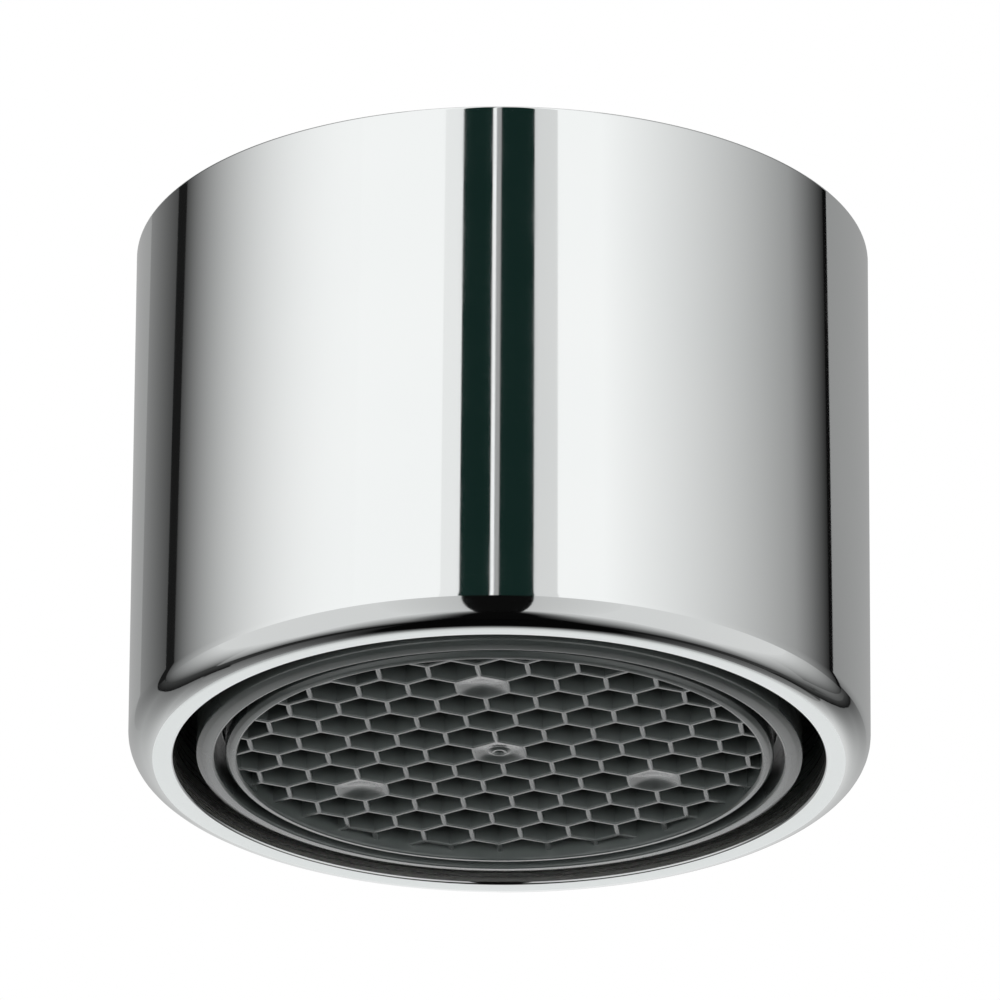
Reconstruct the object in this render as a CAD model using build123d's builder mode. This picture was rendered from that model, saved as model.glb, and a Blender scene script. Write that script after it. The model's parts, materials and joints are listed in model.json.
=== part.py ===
from build123d import *
from math import ceil, radians, sqrt, tan
import os

# A tap aerator with a female thread. A chromed outlet sleeve screws over the end of the spout and
# holds a plastic insert, which strains, meters, splits, aerates and straightens the water.
# Units are millimetres. The axis is Z, the outlet lip lies at Z = 0 and the tap is above.

# Sleeve
thread_diameter = 22.0  # fine metric thread in the sleeve's mouth
thread_pitch = 1.0
thread_wall = 1.0  # metal left outside the thread
sleeve_height = 17.8
outlet_edge_radius = 0.9
lip_chamfer = 0.12
rim_chamfer = 0.15
mouth_chamfer = 0.65  # a little deeper than the thread
relief_length = 1.2  # groove that the thread runs out into
relief_depth = 0.12
collar_thickness = 1.0  # inner collar that carries the insert

# Radial fits
insert_clearance = 0.15  # flange and washer inside the thread's core
shoulder_width = 0.4  # bearing of the insert's flange on the collar
collar_clearance = 0.2
air_gap = 0.7  # ring through which the insert draws its air
slip_clearance = 0.08  # between nested plastic pieces

# Insert housing
housing_wall = 0.6
face_recess = 0.02  # the insert's outlet end above the lip
end_slope = 0.16  # rise of each ring's conical end, from its inner crest to its outer edge
groove_width = 0.35  # ring groove round the honeycomb at the outlet
groove_depth = 1.1
ledge_thickness = 0.6
flange_floor = 0.5
flange_rim_wall = 0.55
window_count = 8  # air windows under the diffuser
window_width = 3.6
window_height = 1.5
insert_turn = -5.8  # degrees, how the insert happens to sit in the sleeve

# Honeycomb
comb_pitch = 1.59
comb_web = 0.18
comb_ring_wall = 0.38
comb_recess = 0.3
comb_depth = 3.0
pad_count = 3  # closed cells where the mould's ejector pins press
pad_steps = 2  # lattice steps, each of two rows, from the middle to a pad
pad_dimple = 0.9  # across the flats
pad_dimple_depth = 0.1
gate_diameter = 0.5  # stub left by the moulding gate in the middle cell
gate_height = 0.07

# Mixing grids
grid_height = 0.9
grid_web_height = 0.5
grid_web = 0.35
grid_rim_wall = 0.7
grid_spokes = 10
grid_rings = 2

# Diffuser
chamber_height = 2.2  # mixing chamber between the upper grid and the diffuser
diffuser_floor = 0.7
diffuser_wall = 0.6
diffuser_seat = 0.5  # width of the ledge that carries the regulator
diffuser_rim = 0.5
distribution_gap = 0.7
jet_count = 20  # radial slots in the floor
jet_width = 0.5
jet_length = 1.6
jet_edge = 0.3  # from the ledge to the slots

# Flow regulator
regulator_floor = 0.7
regulator_height = 1.4
regulator_wall = 0.6
core_diameter = 4.0
flute_count = 8
flute_width = 0.6
flute_depth = 0.5  # into the core, and as far out of it
throttle_section = 1.5  # square-cut rubber ring
throttle_clearance = 0.3

# Strainer
strainer_rim = 0.5
strainer_wall = 0.45
dome_headroom = 0.75  # above the regulator
dome_flat_diameter = 8.4
slot_count = 16
slot_width = 0.7
slot_margin = 0.4
mesh_pitch = 1.2
mesh_opening = 0.7
mesh_first_ring = 5  # holes in the innermost ring

# Washer
washer_thickness = 1.6
washer_width = 2.7
dome_clearance = 0.35  # between the strainer's dome and the washer's hole
seat_margin = 0.2  # thread run-out above the washer

# Radii, from the thread inwards
thread_radius = thread_diameter / 2
thread_depth = 5 / 8 * sqrt(3) / 2 * thread_pitch  # metric profile, inside the sleeve
thread_core_radius = thread_radius - thread_depth
sleeve_radius = thread_radius + thread_wall
relief_radius = thread_radius + relief_depth
flange_radius = thread_core_radius - insert_clearance
collar_radius = flange_radius - shoulder_width
housing_radius = collar_radius - collar_clearance
outlet_bore_radius = housing_radius + air_gap
housing_bore_radius = housing_radius - housing_wall
nested_radius = housing_bore_radius - slip_clearance
comb_ring_radius = housing_bore_radius - groove_width
comb_radius = comb_ring_radius - comb_ring_wall
flange_bore_radius = flange_radius - flange_rim_wall
rim_radius = flange_bore_radius - slip_clearance
pot_radius = nested_radius - diffuser_wall
regulator_radius = pot_radius - slip_clearance
pot_floor_radius = pot_radius - diffuser_seat
washer_hole_radius = flange_radius - washer_width
dome_radius = washer_hole_radius - dome_clearance

# Heights, from the outlet upwards
ledge_bottom = face_recess + groove_depth
ledge_top = ledge_bottom + ledge_thickness
comb_face = face_recess + comb_recess
comb_top = comb_face + comb_depth
upper_grid_bottom = comb_top + grid_height
chamber_bottom = upper_grid_bottom + grid_height
diffuser_bottom = chamber_bottom + chamber_height
pot_bottom = diffuser_bottom + diffuser_floor
regulator_seat = pot_bottom + distribution_gap
cup_bottom = regulator_seat + regulator_floor
rim_top = regulator_seat + regulator_height
rim_seat = rim_top - diffuser_rim
flange_bottom = rim_seat - flange_floor
flange_top = rim_top + strainer_rim
core_top = cup_bottom + throttle_section
dome_top = core_top + dome_headroom + strainer_wall
washer_top = flange_top + washer_thickness
relief_top = washer_top + seat_margin
relief_bottom = relief_top - relief_length
collar_bottom = flange_bottom - collar_thickness

os.makedirs("parts", exist_ok=True)


def finish(piece, label):
    """Names a finished piece and writes it out."""
    piece.part.label = label
    export_step(piece.part, f"parts/{label}.step")


def outer_circle(edges):
    """The widest of some circular edges."""
    return edges.filter_by(GeomType.CIRCLE).sort_by(SortBy.RADIUS)[-1]


def inner_circle(edges):
    """The narrowest of some circular edges."""
    return edges.filter_by(GeomType.CIRCLE).sort_by(SortBy.RADIUS)[0]


# One turn of the thread's groove, its open side reaching in nearly as far as the next turn's
groove_root = thread_pitch / 8
groove_opening = 0.98 * thread_pitch
groove_depth_cut = (groove_opening - groove_root) / 2 / tan(radians(30))
with BuildPart() as thread_turn:
    with BuildSketch(Plane.XZ):
        with BuildLine():
            Polyline(
                (thread_radius, -groove_root / 2),
                (thread_radius, groove_root / 2),
                (thread_radius - groove_depth_cut, groove_opening / 2),
                (thread_radius - groove_depth_cut, -groove_opening / 2),
                close=True,
            )
        make_face()
    with BuildLine():
        helix = Helix(thread_pitch, thread_pitch, thread_radius)
    sweep(path=helix, is_frenet=True)

# Outlet sleeve, turned from brass bar: threaded mouth, run-out groove, collar and air bore
first_turn = relief_top - 3 / 8 * thread_pitch  # starts inside the run-out groove
thread_turns = ceil((sleeve_height - first_turn) / thread_pitch)
with BuildPart() as outlet_sleeve:
    with BuildSketch(Plane.XZ):
        with BuildLine():
            Polyline(
                (outlet_bore_radius, 0),
                (sleeve_radius, 0),
                (sleeve_radius, sleeve_height),
                (thread_core_radius, sleeve_height),
                (thread_core_radius, relief_top),
                (relief_radius, relief_top),
                (relief_radius, relief_bottom),
                (thread_core_radius, relief_bottom),
                (thread_core_radius, flange_bottom),
                (collar_radius, flange_bottom),
                (collar_radius, collar_bottom),
                (outlet_bore_radius, collar_bottom - (outlet_bore_radius - collar_radius)),
                close=True,
            )
        make_face()
    revolve(axis=Axis.Z)
    lip_width = sleeve_radius - outlet_bore_radius
    widest_edge = lip_width - 2 * lip_chamfer
    chamfer(inner_circle(edges().group_by(Axis.Z)[0]), lip_chamfer)
    fillet(outer_circle(edges().group_by(Axis.Z)[0]), min(outlet_edge_radius, widest_edge))
    chamfer(inner_circle(edges().group_by(Axis.Z)[-1]), mouth_chamfer)
    chamfer(outer_circle(edges().group_by(Axis.Z)[-1]), rim_chamfer)
    for turn in range(thread_turns):
        with Locations((0, 0, first_turn + turn * thread_pitch)):
            add(thread_turn.part, mode=Mode.SUBTRACT)
finish(outlet_sleeve, "outlet_sleeve")

# Sealing washer, between the spout's end and the insert's flange
with BuildPart() as sealing_washer:
    with BuildSketch(Plane.XY.offset(flange_top)):
        Circle(flange_radius)
        Circle(washer_hole_radius, mode=Mode.SUBTRACT)
    extrude(amount=washer_thickness)
finish(sealing_washer, "sealing_washer")

# Insert housing: flange on the collar, air windows, and a ledge for the honeycomb
with BuildPart() as insert_housing:
    with BuildSketch(Plane.XZ):
        with BuildLine():
            Polyline(
                (housing_bore_radius, face_recess),
                (housing_radius, face_recess + end_slope),
                (housing_radius, flange_bottom),
                (flange_radius, flange_bottom),
                (flange_radius, flange_top),
                (flange_bore_radius, flange_top),
                (flange_bore_radius, rim_seat),
                (housing_bore_radius, rim_seat),
                (housing_bore_radius, ledge_top),
                (comb_ring_radius + slip_clearance, ledge_top),
                (comb_ring_radius + slip_clearance, ledge_bottom),
                (housing_bore_radius, ledge_bottom),
                close=True,
            )
        make_face()
    revolve(axis=Axis.Z)
    window_middle = chamber_bottom + chamber_height / 2
    with Locations((0, 0, window_middle)):
        with PolarLocations(housing_radius, window_count, start_angle=insert_turn):
            Box(4 * housing_wall, window_width, window_height, mode=Mode.SUBTRACT)
finish(insert_housing, "insert_housing")

# Honeycomb outlet: a ring with a flange, filled with hexagonal cells that straighten the jet
row_spacing = comb_pitch * sqrt(3) / 2
pad_radius = 2 * pad_steps * row_spacing
rows = int(comb_radius / row_spacing) + 1
pads = PolarLocations(pad_radius, pad_count, start_angle=-90).local_locations
closed_cells = [Vector()] + [pad.position for pad in pads]


def is_open(cell):
    """Whether a cell is inside the ring, or cut by it, and isn't one of the closed ones."""
    inside = cell.length < comb_radius + comb_pitch / 3
    return inside and all((cell - closed).length > comb_pitch / 2 for closed in closed_cells)


cells = [
    Vector(comb_pitch * (column + row % 2 / 2), row_spacing * row)
    for row in range(-rows, rows + 1)
    for column in range(-rows - 1, rows + 1)
]
comb_plane = Plane.XY.offset(comb_face).rotated((0, 0, insert_turn))
with BuildPart() as honeycomb_outlet:
    with BuildSketch(Plane.XZ):
        with BuildLine():
            Polyline(
                (0, comb_face),
                (comb_radius, comb_face),
                (comb_radius, face_recess),
                (comb_ring_radius, face_recess + end_slope),
                (comb_ring_radius, ledge_top),
                (nested_radius, ledge_top),
                (nested_radius, comb_top),
                (0, comb_top),
                close=True,
            )
        make_face()
    revolve(axis=Axis.Z)
    with BuildSketch(comb_plane):
        with Locations([cell for cell in cells if is_open(cell)]):
            RegularPolygon((comb_pitch - comb_web) / 2, 6, major_radius=False, rotation=30)
        Circle(comb_radius, mode=Mode.INTERSECT)
    extrude(amount=comb_depth, mode=Mode.SUBTRACT)
    with BuildSketch(comb_plane):
        with Locations(closed_cells):
            RegularPolygon(pad_dimple / 2, 6, major_radius=False, rotation=30)
    extrude(amount=pad_dimple_depth, mode=Mode.SUBTRACT)
    with BuildSketch(comb_plane.offset(pad_dimple_depth)):
        Circle(gate_diameter / 2)
    extrude(amount=-gate_height)
finish(honeycomb_outlet, "honeycomb_outlet")


def mixing_grid(bottom, turn):
    """A ring with spokes and concentric webs, which breaks the jets up with air."""
    ring_step = (nested_radius - grid_rim_wall) / (grid_rings + 1)
    with BuildPart() as grid:
        with BuildSketch(Plane.XY.offset(bottom)):
            Circle(nested_radius)
            Circle(nested_radius - grid_rim_wall, mode=Mode.SUBTRACT)
        extrude(amount=grid_height)
        with BuildSketch(Plane.XY.offset(bottom)):
            for ring in range(grid_rings, 0, -1):
                Circle(ring_step * ring + grid_web / 2)
                Circle(ring_step * ring - grid_web / 2, mode=Mode.SUBTRACT)
        extrude(amount=grid_web_height)
        with BuildSketch(Plane.XY.offset(bottom)):
            with PolarLocations((ring_step + nested_radius - grid_rim_wall) / 2, grid_spokes, turn):
                Rectangle(nested_radius - grid_rim_wall - ring_step + grid_web, grid_web)
        extrude(amount=grid_web_height)
    return grid


finish(mixing_grid(comb_top, insert_turn), "lower_grid")
finish(mixing_grid(upper_grid_bottom, insert_turn + 180 / grid_spokes), "upper_grid")

# Diffuser: a pot hung in the housing, whose floor splits the water into fine jets
with BuildPart() as diffuser_plate:
    with BuildSketch(Plane.XZ):
        with BuildLine():
            Polyline(
                (0, diffuser_bottom),
                (nested_radius, diffuser_bottom),
                (nested_radius, rim_seat),
                (rim_radius, rim_seat),
                (rim_radius, rim_top),
                (pot_radius, rim_top),
                (pot_radius, regulator_seat),
                (pot_floor_radius, regulator_seat),
                (pot_floor_radius, pot_bottom),
                (0, pot_bottom),
                close=True,
            )
        make_face()
    revolve(axis=Axis.Z)
    with BuildSketch(Plane.XY.offset(diffuser_bottom)):
        with PolarLocations(pot_floor_radius - jet_edge - jet_length / 2, jet_count):
            Rectangle(jet_length, jet_width)
    extrude(amount=diffuser_floor, mode=Mode.SUBTRACT)
finish(diffuser_plate, "diffuser_plate")

# Flow regulator: a cup whose fluted core the throttle ring closes in on as the pressure rises
core_radius = core_diameter / 2
throttle_hole_radius = core_radius + throttle_clearance
throttle_ring_radius = throttle_hole_radius + throttle_section
cup_radius = throttle_ring_radius + throttle_clearance
with BuildPart() as regulator_body:
    with BuildSketch(Plane.XZ):
        with BuildLine():
            Polyline(
                (0, regulator_seat),
                (regulator_radius, regulator_seat),
                (regulator_radius, rim_top),
                (regulator_radius - regulator_wall, rim_top),
                (regulator_radius - regulator_wall, cup_bottom),
                (cup_radius + regulator_wall, cup_bottom),
                (cup_radius + regulator_wall, rim_top),
                (cup_radius, rim_top),
                (cup_radius, cup_bottom),
                (core_radius, cup_bottom),
                (core_radius, core_top),
                (0, core_top),
                close=True,
            )
        make_face()
    revolve(axis=Axis.Z)
    with BuildSketch(Plane.XY.offset(regulator_seat)):
        with PolarLocations(core_radius, flute_count):
            Rectangle(2 * flute_depth, flute_width)
    extrude(amount=core_top - regulator_seat, mode=Mode.SUBTRACT)
finish(regulator_body, "regulator_body")

# Throttle ring of the regulator, lying on the cup's floor
with BuildPart() as throttle_ring:
    with BuildSketch(Plane.XY.offset(cup_bottom)):
        Circle(throttle_ring_radius)
        Circle(throttle_hole_radius, mode=Mode.SUBTRACT)
    extrude(amount=throttle_section)
finish(throttle_ring, "throttle_ring")

# Strainer: a rim under the washer and a low dome with slots and rings of square holes
dome_flat_radius = dome_flat_diameter / 2
slot_length = dome_radius - strainer_wall - dome_flat_radius - slot_margin
mesh_rings = int((dome_flat_radius - mesh_opening / 2) / mesh_pitch)
with BuildPart() as strainer_dome:
    with BuildSketch(Plane.XZ):
        with BuildLine():
            Polyline(
                (dome_radius - strainer_wall, rim_top),
                (rim_radius, rim_top),
                (rim_radius, flange_top),
                (dome_radius, flange_top),
                (dome_flat_radius, dome_top),
                (0, dome_top),
                (0, dome_top - strainer_wall),
                (dome_flat_radius - strainer_wall / 2, dome_top - strainer_wall),
                close=True,
            )
        make_face()
    revolve(axis=Axis.Z)
    with BuildSketch(Plane.XY.offset(rim_top)):
        with PolarLocations(dome_flat_radius + (slot_margin + slot_length) / 2, slot_count):
            Rectangle(slot_length, slot_width)
        for ring in range(1, mesh_rings + 1):
            with PolarLocations(mesh_pitch * ring, mesh_first_ring * ring):
                Rectangle(mesh_opening, mesh_opening)
    extrude(amount=dome_top - rim_top, mode=Mode.SUBTRACT)
finish(strainer_dome, "strainer_dome")
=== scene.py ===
import json
import math

import bmesh
import bpy
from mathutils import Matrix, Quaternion, Vector


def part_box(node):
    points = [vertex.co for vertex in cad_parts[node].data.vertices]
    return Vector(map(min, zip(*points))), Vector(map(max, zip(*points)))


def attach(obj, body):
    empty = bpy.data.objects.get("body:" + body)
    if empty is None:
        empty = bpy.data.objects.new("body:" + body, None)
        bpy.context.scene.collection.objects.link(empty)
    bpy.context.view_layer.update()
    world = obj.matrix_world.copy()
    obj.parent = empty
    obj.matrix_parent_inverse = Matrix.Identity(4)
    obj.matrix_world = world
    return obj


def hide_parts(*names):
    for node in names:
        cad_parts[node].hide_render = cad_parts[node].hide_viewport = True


# A tap aerator, seen from below its outlet: a chromed sleeve round a grey plastic insert.
# Shapes are worked out in millimetres and made in metres. The axis is Z, the lip is at Z = 0.

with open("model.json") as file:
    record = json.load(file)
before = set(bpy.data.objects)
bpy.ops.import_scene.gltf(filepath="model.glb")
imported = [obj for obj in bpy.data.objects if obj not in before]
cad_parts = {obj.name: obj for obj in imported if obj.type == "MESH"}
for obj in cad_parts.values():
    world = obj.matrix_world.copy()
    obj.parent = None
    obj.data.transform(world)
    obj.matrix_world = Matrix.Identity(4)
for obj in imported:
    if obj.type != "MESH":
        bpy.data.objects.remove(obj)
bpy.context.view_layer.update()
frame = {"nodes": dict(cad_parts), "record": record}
MM = 0.001


def node_size(node):
    """Radius, lowest and highest level of a CAD node, in millimetres."""
    low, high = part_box(node)
    return high.x / MM, low.z / MM, high.z / MM


def mount(name):
    """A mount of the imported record."""
    return next(m for m in frame["record"]["mounts"] if m["name"] == name)


# Sizes read from the frame
sleeve_radius, lip_level, sleeve_height = node_size("outlet_sleeve")
flange_radius, insert_end, flange_top = node_size("insert_housing")
nested_radius, _, comb_top = node_size("honeycomb_outlet")
washer_radius, washer_bottom, washer_top = node_size("sealing_washer")
_, diffuser_bottom, rim_top = node_size("diffuser_plate")
_, _, chamber_bottom = node_size("upper_grid")
thread_core = mount("spout_thread")["dims"]["r_mm"]
thread_length = mount("spout_thread")["dims"]["length_mm"]
thread_middle = mount("spout_thread")["pos_m"][2] / MM
relief_top = thread_middle - thread_length / 2
mouth_chamfer = sleeve_height - thread_middle - thread_length / 2

# Sizes of the sleeve
thread_radius = 11.0
thread_pitch = 1.0
relief_length = 1.2
relief_radius = 11.12
shoulder_width = 0.4
collar_clearance = 0.1
air_gap = 0.73
collar_thickness = 1.0
outlet_edge = 0.9
lip_edge = 0.08
rim_edge = 0.1
relief_edge = 0.1
inner_edge = 0.08

# Sizes of the insert
housing_wall = 0.6
end_slope = 0.145
end_crest = 0.08
crest_share = 0.68
crest_slope = 0.17
housing_crown = 0.3
comb_crown = 0.1
groove_width = 0.35
groove_depth = 1.1
ledge_thickness = 0.6
slip_clearance = 0.08
flange_floor = 0.5
flange_rim_wall = 0.55
flange_root = 0.1
rim_thickness = 0.5
window_count = 8
window_width = 3.6
window_height = 1.5
insert_turn = math.radians(-5.8)
moulded_edge = 0.07

# Sizes of the honeycomb
comb_pitch = 1.59
comb_web = 0.18
comb_ring_wall = 0.38
comb_recess = 0.3
web_edge = 0.045
pad_row = 4
pad_depth = 0.13
pad_fall = 1.5
gate_radius = 0.2
gate_height = 0.1
washer_width = 2.7
washer_edge = 0.2

# Radii and levels that follow
collar_radius = flange_radius - shoulder_width
housing_radius = collar_radius - collar_clearance
outlet_bore = housing_radius + air_gap
housing_bore = housing_radius - housing_wall
comb_ring_radius = housing_bore - groove_width
comb_radius = comb_ring_radius - comb_ring_wall
flange_bore = flange_radius - flange_rim_wall
mouth_radius = thread_core + mouth_chamfer
rim_seat = rim_top - rim_thickness
flange_bottom = rim_seat - flange_floor
collar_bottom = flange_bottom - collar_thickness
ledge_bottom = insert_end + groove_depth
ledge_top = ledge_bottom + ledge_thickness
comb_face = insert_end + comb_recess
relief_bottom = relief_top - relief_length
window_middle = (chamber_bottom + diffuser_bottom) / 2


# Meshes

sharp_angle = math.radians(32)


def make_piece(name, vertices, faces, node, materials, turn_out=True):
    """A finished piece that stands for a CAD node, from vertices in millimetres."""
    mesh = bpy.data.meshes.new(name)
    mesh.from_pydata([tuple(c * MM for c in vertex) for vertex in vertices], [], faces)
    clean = bmesh.new()
    clean.from_mesh(mesh)
    bmesh.ops.remove_doubles(clean, verts=clean.verts, dist=1e-7)
    bmesh.ops.dissolve_degenerate(clean, edges=clean.edges, dist=1e-8)
    if turn_out:
        bmesh.ops.recalc_face_normals(clean, faces=clean.faces)
    clean.to_mesh(mesh)
    clean.free()
    mesh.shade_smooth()
    mesh.set_sharp_from_angle(angle=sharp_angle)
    for material in materials:
        mesh.materials.append(material)
    piece = bpy.data.objects.new(name, mesh)
    bpy.context.scene.collection.objects.link(piece)
    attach(piece, "root")
    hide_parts(node)
    return piece


def rounded(corners, steps=5):
    """The points of a closed profile whose corners are (radius, level, rounding)."""
    points = []
    for index, (x, y, rounding) in enumerate(corners):
        corner = Vector((x, y))
        if not rounding:
            points.append((x, y))
            continue
        before = (Vector(corners[index - 1][:2]) - corner).normalized()
        after = (Vector(corners[(index + 1) % len(corners)][:2]) - corner).normalized()
        half = before.angle(after) / 2
        middle = corner + (before + after).normalized() * rounding / math.sin(half)
        start = (corner + before * rounding / math.tan(half) - middle).normalized()
        end = (corner + after * rounding / math.tan(half) - middle).normalized()
        for step in range(steps + 1):
            points.append(tuple(middle + start.slerp(end, step / steps) * rounding))
    return points


def even_columns(count):
    """Angles spaced evenly round the axis, at any radius."""
    angles = [math.tau * index / count for index in range(count)]
    return lambda radius: angles


def turned(profile, columns):
    """The vertices of a profile turned round the axis, row by row."""
    vertices = []
    for radius, level in profile:
        for angle in columns(radius):
            vertices.append((radius * math.cos(angle), radius * math.sin(angle), level))
    return vertices


def row_faces(rows, count, closed=True, keep=lambda row, column: True):
    """The faces between the rows of a turned profile."""
    faces = []
    for row in range(rows if closed else rows - 1):
        for column in range(count):
            if keep(row, column):
                here = row * count
                there = (row + 1) % rows * count
                side = (column + 1) % count
                faces.append((here + column, here + side, there + side, there + column))
    return faces


# The sleeve, with its thread

sleeve_columns = 256
thread_flat = 0.25
thread_rise = 0.3125
thread_round = 0.03
rows_per_flank = 5
plated_rim = 0.01


def thread_stations():
    """Shares of a pitch at which the thread has a row, with the share of its depth there."""
    rise_start = thread_flat + thread_round
    rise_end = thread_flat + thread_rise - thread_round
    fall_start = 1 - thread_rise + thread_round
    fall_end = 1 - thread_round
    stations = [(thread_round, 0.0), (thread_flat - thread_round, 0.0)]
    for start, end, low, high in ((rise_start, rise_end, 0, 1), (fall_start, fall_end, 1, 0)):
        for step in range(rows_per_flank):
            share = step / (rows_per_flank - 1)
            depth = low + (high - low) * share
            margin = thread_round / thread_rise
            stations.append((start + (end - start) * share, margin + (1 - 2 * margin) * depth))
        if high:
            stations.append((thread_flat + thread_rise + thread_round, 1.0))
            stations.append((1 - thread_rise - thread_round, 1.0))
    return stations


stations = thread_stations()


def bore_at(level, turn):
    """Radius of the threaded mouth at a level and a share of a turn."""
    share = ((level - relief_top) / thread_pitch - turn) % 1
    reach = stations + [(stations[0][0] + 1, stations[0][1])]
    share = share if share >= reach[0][0] else share + 1
    for (first, low), (second, high) in zip(reach, reach[1:]):
        if first <= share <= second:
            depth = low + (high - low) * (share - first) / (second - first)
            break
    cut = thread_core + (thread_radius - thread_core) * depth
    chamfer = mouth_radius - (sleeve_height - level)
    return max(cut, chamfer)


def build_sleeve(polished, turned_metal):
    """The chromed sleeve: a turned body whose mouth has a right-hand thread."""
    step_in = outlet_bore - collar_radius
    outline = rounded([
        (relief_radius, relief_top, 0),
        (relief_radius, relief_bottom, relief_edge),
        (thread_core, relief_bottom, 0),
        (thread_core, flange_bottom, 0),
        (collar_radius, flange_bottom, inner_edge),
        (collar_radius, collar_bottom, inner_edge),
        (outlet_bore, collar_bottom - step_in, inner_edge),
        (outlet_bore, lip_level, lip_edge),
        (sleeve_radius, lip_level, outlet_edge),
        (sleeve_radius, sleeve_height, rim_edge),
        (mouth_radius, sleeve_height, 0),
    ], steps=10)
    count = sleeve_columns
    vertices = turned(outline, even_columns(count))
    faces = row_faces(len(outline), count, closed=False)

    first = len(vertices)
    turns = math.ceil((sleeve_height - relief_top) / thread_pitch) + 2
    rows = turns * len(stations)
    for column in range(count):
        turn = column / count
        angle = math.tau * turn
        for row in range(rows):
            lead = row // len(stations) - 1 + stations[row % len(stations)][0] + turn
            level = min(max(relief_top + thread_pitch * lead, relief_top), sleeve_height)
            radius = bore_at(level, turn)
            vertices.append((radius * math.cos(angle), radius * math.sin(angle), level))
    for column in range(count):
        wraps = column == count - 1
        shift = len(stations) if wraps else 0
        here = first + column * rows
        there = first + (column + 1) % count * rows + shift
        for row in range(rows - 1 - len(stations)):
            faces.append((here + row, there + row, there + row + 1, here + row + 1))
        run_out = (column + 1) % count
        faces.append((column, run_out, first + run_out * rows, here))

    piece = make_piece("sleeve_with_thread", vertices, faces, "outlet_sleeve",
                       [polished, turned_metal])
    inner_radius = (relief_radius + sleeve_radius) / 2 * MM
    for face in piece.data.polygons:
        spot = face.center
        inside = math.hypot(spot.x, spot.y) < inner_radius
        if inside and lip_edge * MM < spot.z < (sleeve_height - plated_rim) * MM:
            face.material_index = 1
    return piece


# The insert's housing

window_steps = 8
wall_steps = 22


def window_columns(radius):
    """Angles round the housing at a radius, with columns at the sides of each air window."""
    sector = math.tau / window_count
    half = math.asin(window_width / 2 / radius)
    angles = []
    for window in range(window_count):
        middle = insert_turn + sector * window
        for step in range(window_steps):
            angles.append(middle - half + 2 * half * step / window_steps)
        for step in range(wall_steps):
            angles.append(middle + half + (sector - 2 * half) * step / wall_steps)
    return angles


def build_housing(material):
    """The insert's housing: flange, wall with air windows, ledge and conical outlet end."""
    window_low = window_middle - window_height / 2
    window_high = window_middle + window_height / 2
    ledge_radius = comb_ring_radius + slip_clearance
    crest_width = crest_share * housing_wall
    outer_low = (housing_radius, window_low)
    outer_high = (housing_radius, window_high)
    inner_low = (housing_bore, window_low)
    inner_high = (housing_bore, window_high)
    outline = rounded([
        (housing_bore, insert_end, end_crest),
        (housing_bore + crest_width, insert_end + crest_slope * crest_width, housing_crown),
        (housing_radius, insert_end + end_slope, moulded_edge),
        (*outer_low, 0),
        (*outer_high, 0),
        (housing_radius, flange_bottom, flange_root),
        (flange_radius, flange_bottom, moulded_edge),
        (flange_radius, flange_top, moulded_edge),
        (flange_bore, flange_top, moulded_edge),
        (flange_bore, rim_seat, 0),
        (housing_bore, rim_seat, moulded_edge),
        (*inner_high, 0),
        (*inner_low, 0),
        (housing_bore, ledge_top, 0),
        (ledge_radius, ledge_top, moulded_edge),
        (ledge_radius, ledge_bottom, moulded_edge),
        (housing_bore, ledge_bottom, 0),
    ])
    row_of = {point: row for row, point in enumerate(outline)}
    outer_row = row_of[outer_low]
    inner_row = row_of[inner_high]
    sector = window_steps + wall_steps
    count = sector * window_count

    def is_wall(row, column):
        return row not in (outer_row, inner_row) or column % sector >= window_steps

    vertices = turned(outline, window_columns)
    faces = row_faces(len(outline), count, keep=is_wall)
    pairs = ((outer_row, inner_row + 1), (outer_row + 1, inner_row))
    for window in range(window_count):
        start = window * sector
        for outer, inner in pairs:
            for column in range(start, start + window_steps):
                a, b = outer * count + column, inner * count + column
                faces.append((a, a + 1, b + 1, b))
        for column in (start, start + window_steps):
            faces.append(tuple(row * count + column for row in
                               (outer_row, outer_row + 1, inner_row, inner_row + 1)))
    return make_piece("insert_housing_moulded", vertices, faces, "insert_housing",
                      [material])


# The honeycomb

ring_columns = 192
web_root = 0.04
web_steps = 6
clip_radius = comb_radius + web_root
pad_columns = 24
pad_rings = 10


def clip(polygon):
    """The part of a polygon inside the honeycomb's ring."""
    for index in range(ring_columns):
        angle = math.tau * (index + 0.5) / ring_columns
        side = Vector((math.cos(angle), math.sin(angle), 0))
        reach = clip_radius * math.cos(math.pi / ring_columns)
        kept = []
        for first, second in zip(polygon, polygon[1:] + polygon[:1]):
            inside = reach - first.dot(side)
            beyond = reach - second.dot(side)
            if inside >= 0:
                kept.append(first)
            if inside * beyond < 0:
                kept.append(first.lerp(second, inside / (inside - beyond)))
        polygon = kept
        if len(polygon) < 3:
            return []
    return polygon


def cell_strips(centre):
    """The half webs round an open cell: six sides, each in strips from the hole outwards."""
    hole = (comb_pitch - comb_web) / 2
    section = [(hole, comb_top), (hole, comb_face + web_edge)]
    for step in range(1, web_steps + 1):
        angle = math.pi / 2 * step / web_steps
        section.append((hole + web_edge * (1 - math.cos(angle)),
                        comb_face + web_edge * (1 - math.sin(angle))))
    section.append((comb_pitch / 2, comb_face))
    section.append((comb_pitch / 2, comb_top))
    tops = [(comb_pitch / 2, comb_top), (hole, comb_top)]
    strips = list(zip(section[:-1], section[1:-1])) + [tuple(tops)]
    half_side = math.tan(math.pi / 6)
    for side in range(6):
        angle = insert_turn + math.tau * side / 6
        out = Vector((math.cos(angle), math.sin(angle), 0))
        along = Vector((-out.y, out.x, 0))
        for ends in strips:
            polygon = []
            for (apothem, level), hand in ((ends[0], -1), (ends[0], 1), (ends[1], 1), (ends[1], -1)):
                spot = centre + out * apothem + along * apothem * half_side * hand
                polygon.append(Vector((spot.x, spot.y, level)))
            yield polygon


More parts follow.
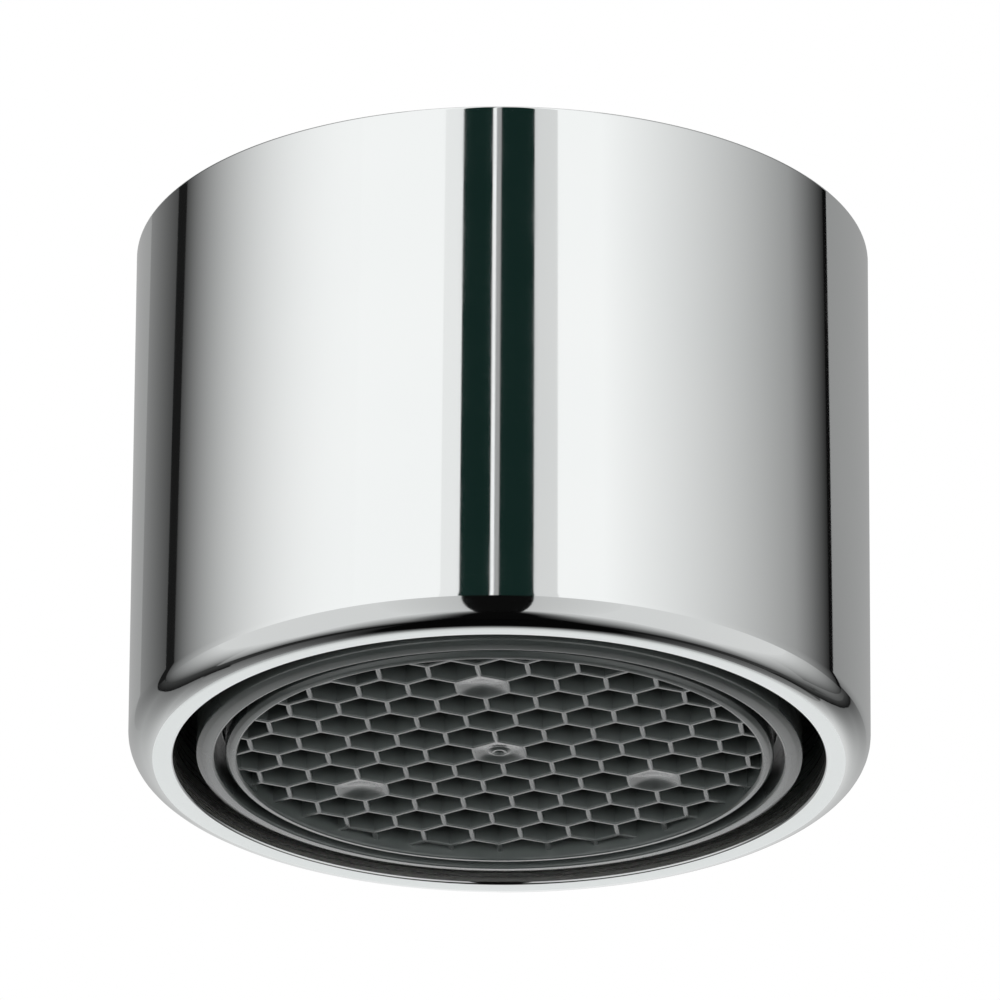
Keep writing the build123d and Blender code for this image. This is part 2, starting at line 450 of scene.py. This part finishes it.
def pad_level(share, has_gate):
    """Level of a closed cell's dished face at a share of its radius."""
    level = comb_face + pad_depth * (1 - share ** 2) ** pad_fall
    if has_gate:
        distance = share * comb_pitch / 2 - gate_radius
        level -= gate_height * math.exp(-(distance / (gate_radius / 2)) ** 2)
    return level


def closed_cell(centre, has_gate):
    """The dished face of a closed cell, with the gate's crater in the middle one."""
    rings = []
    for ring in range(pad_rings + 1):
        share = 1 - ring / pad_rings
        points = []
        for column in range(pad_columns):
            angle = math.tau * column / pad_columns
            off_side = (angle + math.pi / 6) % (math.pi / 3) - math.pi / 6
            hexagon = comb_pitch / 2 / math.cos(off_side)
            reach = share * (comb_pitch / 2 + (hexagon - comb_pitch / 2) * share ** 2)
            turn = angle + insert_turn
            points.append(Vector((centre.x + reach * math.cos(turn), centre.y + reach * math.sin(turn),
                                  pad_level(share, has_gate))))
        rings.append(points)
    for outer, inner in zip(rings, rings[1:]):
        for column in range(pad_columns):
            side = (column + 1) % pad_columns
            yield [outer[side], outer[column], inner[column], inner[side]]
    yield [Vector((point.x, point.y, comb_top)) for point in rings[0]]


def build_honeycomb(material):
    """The outlet's honeycomb: a flanged ring filled with hexagonal cells, four of them closed."""
    crest_width = crest_share * comb_ring_wall
    ring = rounded([
        (comb_radius, insert_end, end_crest),
        (comb_radius + crest_width, insert_end + crest_slope * crest_width, comb_crown),
        (comb_ring_radius, insert_end + end_slope, moulded_edge),
        (comb_ring_radius, ledge_top, 0),
        (nested_radius, ledge_top, moulded_edge),
        (nested_radius, comb_top, 0),
        (comb_radius, comb_top, 0),
    ])
    vertices = turned(ring, even_columns(ring_columns))
    faces = row_faces(len(ring), ring_columns)

    row_spacing = comb_pitch * math.sqrt(3) / 2
    turn = Quaternion((0, 0, 1), insert_turn)
    pads = [Vector((math.cos(a), math.sin(a), 0)) * pad_row * row_spacing
            for a in (math.radians(-90 + 120 * index) for index in range(3))]
    reach = int(comb_radius / row_spacing) + 2
    polygons = []
    for row in range(-reach, reach + 1):
        for column in range(-reach, reach + 1):
            cell = Vector((comb_pitch * (column + row % 2 / 2), row_spacing * row, 0))
            centre = turn @ cell
            if cell.length > comb_radius + comb_pitch / 3:
                continue
            if any((cell - closed).length < comb_pitch / 2 for closed in [Vector()] + pads):
                polygons.extend(closed_cell(centre, cell.length < comb_pitch / 2))
                continue
            whole = cell.length + comb_pitch < comb_radius
            polygons.extend(strip if whole else clip(strip) for strip in cell_strips(centre))
    for polygon in filter(None, polygons):
        first = len(vertices)
        vertices.extend(tuple(point) for point in polygon)
        faces.append(tuple(range(first, first + len(polygon))))
    return make_piece("honeycomb_moulded", vertices, faces, "honeycomb_outlet",
                      [material], turn_out=False)


washer_columns = 128


def build_washer(material):
    """The rubber washer, with its edges rounded."""
    hole = washer_radius - washer_width
    outline = rounded([
        (hole, washer_bottom, washer_edge),
        (washer_radius, washer_bottom, washer_edge),
        (washer_radius, washer_top, washer_edge),
        (hole, washer_top, washer_edge),
    ])
    vertices = turned(outline, even_columns(washer_columns))
    faces = row_faces(len(outline), washer_columns)
    return make_piece("washer_rounded", vertices, faces, "sealing_washer", [material])


# Materials

def principled(name):
    """A new material with its nodes, links and shader."""
    material = bpy.data.materials.new(name)
    material.use_nodes = True
    tree = material.node_tree
    return material, tree.nodes, tree.links, tree.nodes["Principled BSDF"]


def noise(nodes, links, place, scale, detail=3):
    """A noise texture at a number of grains to the metre."""
    texture = nodes.new("ShaderNodeTexNoise")
    texture.inputs["Scale"].default_value = scale
    texture.inputs["Detail"].default_value = detail
    links.new(place, texture.inputs["Vector"])
    return texture.outputs["Fac"]


def spread(nodes, links, value, low, high):
    """A value from 0.3 to 0.7 spread over a range."""
    ranged = nodes.new("ShaderNodeMapRange")
    ranged.inputs["From Min"].default_value = 0.3
    ranged.inputs["From Max"].default_value = 0.7
    ranged.inputs["To Min"].default_value = low
    ranged.inputs["To Max"].default_value = high
    links.new(value, ranged.inputs["Value"])
    return ranged.outputs["Result"]


def two_tone(nodes, links, value, dark, light):
    """A colour that a value moves between two tones."""
    ramp = nodes.new("ShaderNodeValToRGB")
    ramp.color_ramp.elements[0].position = 0.3
    ramp.color_ramp.elements[0].color = (*dark, 1)
    ramp.color_ramp.elements[1].position = 0.7
    ramp.color_ramp.elements[1].color = (*light, 1)
    links.new(value, ramp.inputs["Fac"])
    return ramp.outputs["Color"]


def bump(nodes, links, shader, height, distance, strength):
    """Relief on a shader, its depth in metres."""
    relief = nodes.new("ShaderNodeBump")
    relief.inputs["Distance"].default_value = distance
    relief.inputs["Strength"].default_value = strength
    links.new(height, relief.inputs["Height"])
    links.new(relief.outputs["Normal"], shader.inputs["Normal"])


def place_of(nodes):
    """The place on the object, in metres."""
    return nodes.new("ShaderNodeTexCoord").outputs["Object"]


def chrome():
    """Polished chrome plate, with the faint unevenness of its buffing."""
    material, nodes, links, shader = principled("polished_chrome")
    place = place_of(nodes)
    tone = noise(nodes, links, place, 150)
    color = two_tone(nodes, links, tone, (0.875, 0.897, 0.893), (0.892, 0.910, 0.905))
    links.new(color, shader.inputs["Base Color"])
    shader.inputs["Metallic"].default_value = 1.0
    links.new(spread(nodes, links, noise(nodes, links, place, 420, 5), 0.03, 0.055),
              shader.inputs["Roughness"])
    return material


def turned_brass():
    """The thinly plated bore, with the rings that the turning tool leaves."""
    material, nodes, links, shader = principled("turned_plated_brass")
    split = nodes.new("ShaderNodeSeparateXYZ")
    links.new(place_of(nodes), split.inputs["Vector"])
    across = nodes.new("ShaderNodeCombineXYZ")
    radius = nodes.new("ShaderNodeVectorMath")
    radius.operation = "LENGTH"
    links.new(split.outputs["X"], across.inputs["X"])
    links.new(split.outputs["Y"], across.inputs["Y"])
    links.new(across.outputs["Vector"], radius.inputs[0])
    section = nodes.new("ShaderNodeCombineXYZ")
    links.new(radius.outputs["Value"], section.inputs["X"])
    links.new(split.outputs["Z"], section.inputs["Z"])
    rings = noise(nodes, links, section.outputs["Vector"], 9000, 2)
    links.new(two_tone(nodes, links, rings, (0.62, 0.62, 0.60), (0.72, 0.72, 0.70)),
              shader.inputs["Base Color"])
    shader.inputs["Metallic"].default_value = 0.9
    links.new(spread(nodes, links, rings, 0.22, 0.36), shader.inputs["Roughness"])
    bump(nodes, links, shader, rings, 0.000006, 0.5)
    return material


def plastic(name, dark, light, roughness, coat=0.0):
    """Moulded acetal: slightly mottled, satin, with a fine grain."""
    material, nodes, links, shader = principled(name)
    place = place_of(nodes)
    links.new(two_tone(nodes, links, noise(nodes, links, place, 700, 4), dark, light),
              shader.inputs["Base Color"])
    grain = noise(nodes, links, place, 7000, 4)
    links.new(spread(nodes, links, grain, roughness - 0.02, roughness + 0.02),
              shader.inputs["Roughness"])
    bump(nodes, links, shader, grain, 0.000001, 0.1)
    shader.inputs["Coat Weight"].default_value = coat
    shader.inputs["Coat Roughness"].default_value = roughness / 2
    return material


def rubber():
    """Black rubber, matt, with a dusty bloom."""
    material, nodes, links, shader = principled("black_rubber")
    place = place_of(nodes)
    links.new(two_tone(nodes, links, noise(nodes, links, place, 900, 5),
                       (0.018, 0.018, 0.019), (0.036, 0.036, 0.037)), shader.inputs["Base Color"])
    grain = noise(nodes, links, place, 5000, 4)
    links.new(spread(nodes, links, grain, 0.6, 0.8), shader.inputs["Roughness"])
    bump(nodes, links, shader, grain, 0.00001, 0.5)
    return material


# Studio: white all round, with cards and flags that the chrome shows

card_radius = 0.6
bent_card_nearer = 0.01
card_middle = Vector((0, 0, sleeve_height / 2 * MM))
flag_tint = (0.35, 1.0, 0.85)
white = (1.0, 1.0, 1.0)


def bearing(azimuth, elevation):
    """A direction from the part: azimuth 0 is towards the camera, growing to its right."""
    a, e = math.radians(azimuth), math.radians(elevation)
    return Vector((math.sin(a) * math.cos(e), -math.cos(a) * math.cos(e), math.sin(e)))


def glow(name, tint):
    """A light as strong as the level stored at each point of a card."""
    material = bpy.data.materials.new(name)
    material.use_nodes = True
    nodes, links = material.node_tree.nodes, material.node_tree.links
    nodes.remove(nodes["Principled BSDF"])
    light = nodes.new("ShaderNodeEmission")
    light.inputs["Color"].default_value = (*tint, 1)
    level = nodes.new("ShaderNodeAttribute")
    level.attribute_name = "level"
    links.new(level.outputs["Fac"], light.inputs["Strength"])
    links.new(light.outputs["Emission"], nodes["Material Output"].inputs["Surface"])
    return material


def card(name, azimuths, elevations, levels, low_levels=None, tint=white, soft=False, low_soft=False,
         nearer=0.0):
    """A curved card round the part, which the camera itself doesn't see.

    Its light fades from the first to the second level along it, at a falling rate if soft, and
    from other levels at its lower edge if they are given, with a rate of their own.
    """
    columns = max(1, round(abs(azimuths[1] - azimuths[0]) / 3))
    rows = max(1, round((elevations[1] - elevations[0]) / 6))
    points = []
    strengths = []
    for row in range(rows + 1):
        height = row / rows
        for column in range(columns + 1):
            along = column / columns
            azimuth = azimuths[0] + (azimuths[1] - azimuths[0]) * along
            elevation = elevations[0] + (elevations[1] - elevations[0]) * height
            points.append(card_middle + bearing(azimuth, elevation) * (card_radius - nearer))
            falling = math.sin(along * math.pi / 2)
            high = levels[0] + (levels[1] - levels[0]) * (falling if soft else along)
            low = high
            if low_levels:
                low = low_levels[0] + (low_levels[1] - low_levels[0]) * (falling if low_soft else along)
            strengths.append(low + (high - low) * height)
    faces = []
    for row in range(rows):
        for column in range(columns):
            corner = row * (columns + 1) + column
            faces.append((corner, corner + 1, corner + columns + 2, corner + columns + 1))
    return set_up(name, glowing_mesh(name, points, faces, strengths, tint))


def bent_card(name, levels, *rows):
    """A narrow card in front of the others, whose edges bend from row to row.

    A row is its elevation and the azimuths of both edges.
    """
    points = []
    for elevation, *azimuths in rows:
        for azimuth in azimuths:
            points.append(card_middle + bearing(azimuth, elevation) * (card_radius - bent_card_nearer))
    faces = []
    for corner in range(0, 2 * len(rows) - 2, 2):
        faces.append((corner, corner + 1, corner + 3, corner + 2))
    return set_up(name, glowing_mesh(name, points, faces, levels * len(rows), white))


def glowing_mesh(name, points, faces, strengths, tint):
    """The mesh of a card, with the strength of its light stored at each point."""
    mesh = bpy.data.meshes.new(name)
    mesh.from_pydata(points, [], faces)
    mesh.attributes.new("level", "FLOAT", "POINT").data.foreach_set("value", strengths)
    mesh.materials.append(glow(name, tint))
    return mesh


def set_up(name, mesh, seen=False):
    """A stage object, seen by the camera or only in reflections."""
    thing = bpy.data.objects.new(name, mesh)
    bpy.context.scene.collection.objects.link(thing)
    thing.visible_camera = seen
    return thing


horizon = 4
card_top = 76
flag_depth = 0.25
floor_depth = 0.62
floor_radius = 9.0
floor_lift = 0.16


def build_cards():
    """The cards that the wall shows, those that the outlet's edge shows, and a light into the cells."""
    upper = (horizon, card_top)
    below = (-80, horizon)
    wall_view = 23
    card("flag_left_of_line", (-12.3, -3.1), upper, (0.02, 0.02), tint=flag_tint)
    card("line_core", (-2.0, -0.5), upper, (0.36, 0.36))
    card("flag_right_of_line", (-0.5, 9.9), upper, (0.02, 0.02), tint=flag_tint)
    card("pale_edge_left", (-18.0, -12.3), upper, (0.88, 0.88))
    card("left_panel", (-119, -45), upper, (0.06, 0.99), soft=True)
    card("slit_left", (-124.5, -119), (-40, card_top), (0.01, 0.01))
    card("left_return", (-147, -124.5), (wall_view, card_top), (0.24, 0.07))
    card("left_back", (-171, -147), (wall_view, card_top), (0.42, 0.34))
    card("pale_edge_right", (9.9, 17.1), upper, (0.71, 0.73))
    card("right_panel", (31, 102), upper, (1.0, 0.33))
    card("right_panel_end", (102, 114), upper, (0.33, 0.13))
    card("right_dark", (114, 121.5), upper, (0.13, 0.02))
    card("slit_right", (121.5, 124), upper, (0.004, 0.004))
    card("right_back", (124, 180), (wall_view, card_top), (0.31, 0.38))

    bent_card("hook_left", (0.008, 0.05), (3, -124.5, -119.5), (-8, -124.8, -119), (-14, -125.3, -119),
              (-20, -127, -119), (-27, -129.5, -119), (-33, -132, -119), (-40, -134.5, -120),
              (-46, -143, -123))
    bent_card("hook_right", (0.05, 0.004), (8, 126, 131), (-3, 126.5, 131.5), (-13, 128.5, 133),
              (-19, 130, 135), (-26, 132, 138), (-32, 135, 143), (-37, 139, 149), (-44, 142, 153))
    card("notch", (-11.3, 9.8), below, (0.004, 0.004))
    card("front_left", (-36, -11.3), below, (0.69, 0.54))
    card("front_right", (9.8, 36), below, (0.54, 0.69))
    card("side_left", (-92, -36), below, (0.70, 0.70))
    card("side_right", (36, 94), below, (0.71, 0.70))
    card("low_left", (-119, -92), (-40, horizon), (0.05, 0.68))
    card("deep_left", (-121, -92), (-80, -40), (0.20, 0.68))
    card("deep_slit_left", (-138, -121), (-80, -40), (0.05, 0.03))
    card("low_right", (94, 124), (-34, horizon), (0.66, 0.02), (0.70, 0.12))
    card("deep_right", (94, 136), (-80, -34), (0.70, 0.02), (0.70, 0.50))
    card("low_slit_right", (124, 131), (-34, 8), (0.04, 0.01), (0.22, 0.10))
    card("deep_slit_right", (136, 152), (-80, -34), (0.06, 0.06))
    card("return_left", (-147, -124.5), (-12, wall_view), (0.24, 0.07), (0.39, 0.18))
    card("back_left", (-171, -147), (-12, wall_view), (0.42, 0.34), (0.62, 0.39))
    card("low_back_left", (-171, -124.5), (-40, -12), (0.62, 0.18), (0.62, 0.10), low_soft=True)
    card("deep_back_left", (-171, -138), (-80, -40), (0.62, 0.15), (0.50, 0.12))
    card("behind_left", (-180, -171), (8, wall_view), (0.60, 0.42), (0.95, 0.55))
    card("low_behind_left", (-180, -171), (-12, 8), (0.95, 0.55), (0.95, 0.62))
    card("upper_behind_left", (-180, -171), (wall_view, card_top), (0.50, 0.42))
    card("upper_back_right", (124, 180), (8, wall_view), (0.31, 0.38), (0.14, 0.60))
    card("back_right", (131, 172), (-12, 8), (0.08, 0.58), (0.10, 0.66))
    card("low_back_right", (172, 131), (-34, -12), (0.66, 0.10), (0.78, 0.06), low_soft=True)
    card("deep_back_right", (152, 172), (-80, -34), (0.20, 0.40))
    card("low_behind_right", (172, 180), (-12, 8), (0.58, 0.95), (0.66, 0.95))

    fill = card("fill_front", (-60, 60), (-22, 0), (2.6, 2.6), nearer=0.02)
    fill.visible_glossy = False


def oval_flag(name, depth, *ovals):
    """A level black flag that fades from an inner to an outer oval, in shares of its depth.

    Each oval is (middle, half width, half length).
    """
    columns = 64
    disc = bmesh.new()
    fade = disc.loops.layers.uv.new("fade")
    rings = []
    for middle, width, length in ovals:
        centre = Vector((0, middle, -1))
        oval = Vector((width, length, 0))
        spots = [centre + bearing(360 * column / columns, 0) * oval for column in range(columns)]
        rings.append([disc.verts.new(spot * depth) for spot in spots])
    disc.faces.new(rings[0])
    for column in range(columns):
        side = (column + 1) % columns
        face = disc.faces.new((rings[0][column], rings[0][side], rings[1][side], rings[1][column]))
        for loop, share in zip(face.loops, (0, 0, 1, 1)):
            loop[fade].uv = (share, 0)
    mesh = bpy.data.meshes.new(name)
    disc.to_mesh(mesh)
    disc.free()
    material = bpy.data.materials.new(name)
    material.use_nodes = True
    nodes, links = material.node_tree.nodes, material.node_tree.links
    nodes.remove(nodes["Principled BSDF"])
    cloth = nodes.new("ShaderNodeBsdfDiffuse")
    cloth.inputs["Color"].default_value = (0.004, 0.004, 0.004, 1)
    split = nodes.new("ShaderNodeSeparateXYZ")
    mix = nodes.new("ShaderNodeMixShader")
    links.new(nodes.new("ShaderNodeTexCoord").outputs["UV"], split.inputs["Vector"])
    links.new(split.outputs["X"], mix.inputs["Fac"])
    links.new(cloth.outputs["BSDF"], mix.inputs[1])
    links.new(nodes.new("ShaderNodeBsdfTransparent").outputs["BSDF"], mix.inputs[2])
    links.new(mix.outputs["Shader"], nodes["Material Output"].inputs["Surface"])
    mesh.materials.append(material)
    return set_up(name, mesh)


def build_flags_below():
    """The flags that the outlet's edge shows as a dark band, and one that keeps light out of the cells."""
    oval_flag("flag_below", flag_depth, (0.40, 0.21, 0.56), (0.69, 0.83, 1.45))
    oval_flag("flag_under_notch", 0.9 * flag_depth, (-0.25, 0.12, 0.30), (-0.25, 0.30, 0.50))
    shade = oval_flag("shade_below", 1.1 * flag_depth, (0, 1.4, 1.4), (0, 2.2, 2.2))
    shade.visible_glossy = False


def showing_rays(nodes, links):
    """One for the rays by which the camera, metal and glass show the background, else nought."""
    path = nodes.new("ShaderNodeLightPath")
    shown = path.outputs["Is Camera Ray"]
    for kind in ("Is Glossy Ray", "Is Transmission Ray"):
        either = nodes.new("ShaderNodeMath")
        either.operation = "MAXIMUM"
        links.new(shown, either.inputs[0])
        links.new(path.outputs[kind], either.inputs[1])
        shown = either.outputs["Value"]
    return shown


def build_floor():
    """A plain pale floor, well below the part and the camera."""
    mesh = bpy.data.meshes.new("floor")
    disc = bmesh.new()
    bmesh.ops.create_circle(disc, cap_ends=True, segments=96, radius=floor_radius)
    bmesh.ops.translate(disc, verts=disc.verts, vec=(0, 0, -floor_depth))
    disc.to_mesh(mesh)
    disc.free()
    material, nodes, links, shader = principled("pale_floor")
    shader.inputs["Base Color"].default_value = (0.9, 0.9, 0.9, 1)
    shader.inputs["Roughness"].default_value = 0.9
    shader.inputs["Emission Color"].default_value = (1, 1, 1, 1)
    lift = nodes.new("ShaderNodeMath")
    lift.operation = "MULTIPLY"
    lift.inputs[1].default_value = floor_lift
    links.new(showing_rays(nodes, links), lift.inputs[0])
    links.new(lift.outputs["Value"], shader.inputs["Emission Strength"])
    mesh.materials.append(material)
    set_up("floor", mesh, seen=True)


def build_world():
    """White to the camera and to reflections, and a plain soft light on everything."""
    world = bpy.data.worlds.new("studio")
    bpy.context.scene.world = world
    world.use_nodes = True
    nodes, links = world.node_tree.nodes, world.node_tree.links
    seen = nodes["Background"]
    seen.inputs["Color"].default_value = (1, 1, 1, 1)
    seen.inputs["Strength"].default_value = 1.0
    soft = nodes.new("ShaderNodeBackground")
    soft.inputs["Color"].default_value = (0.95, 0.97, 0.97, 1)
    soft.inputs["Strength"].default_value = 0.75
    mix = nodes.new("ShaderNodeMixShader")
    links.new(showing_rays(nodes, links), mix.inputs["Fac"])
    links.new(soft.outputs["Background"], mix.inputs[1])
    links.new(seen.outputs["Background"], mix.inputs[2])
    links.new(mix.outputs["Shader"], nodes["World Output"].inputs["Surface"])


# Camera, below the outlet and a little tilted

camera_distance = 0.427
camera_elevation = -23.55
camera_roll = 0.35
camera_lens = 471.7
aim = Vector((-0.00003, 0, 0.00925))


def build_camera():
    """The camera at the photograph's viewing angle."""
    data = bpy.data.cameras.new("camera")
    data.lens = camera_lens
    data.clip_start = 0.01
    camera = bpy.data.objects.new("camera", data)
    bpy.context.scene.collection.objects.link(camera)
    back = bearing(0, camera_elevation)
    camera.location = aim + back * camera_distance
    camera.rotation_mode = "QUATERNION"
    roll = Quaternion((0, 0, 1), math.radians(camera_roll))
    camera.rotation_quaternion = (-back).to_track_quat("-Z", "Y") @ roll
    bpy.context.scene.camera = camera


def dress(node, material):
    """A better material on a CAD node whose shape is right."""
    mesh = frame["nodes"][node].data
    mesh.materials.clear()
    mesh.materials.append(material)


grey = plastic("grey_acetal", (0.100, 0.114, 0.110), (0.122, 0.138, 0.134), 0.24, 1.0)
pale = plastic("pale_acetal", (0.62, 0.63, 0.62), (0.70, 0.71, 0.70), 0.45)
dark_rubber = rubber()

build_sleeve(chrome(), turned_brass())
build_housing(grey)
build_honeycomb(grey)
build_washer(dark_rubber)
for node in ("lower_grid", "upper_grid", "diffuser_plate"):
    dress(node, grey)
for node in ("regulator_body", "strainer_dome"):
    dress(node, pale)
dress("throttle_ring", dark_rubber)

build_world()
build_floor()
build_cards()
build_flags_below()
build_camera()
bpy.context.scene.view_settings.view_transform = "Standard"
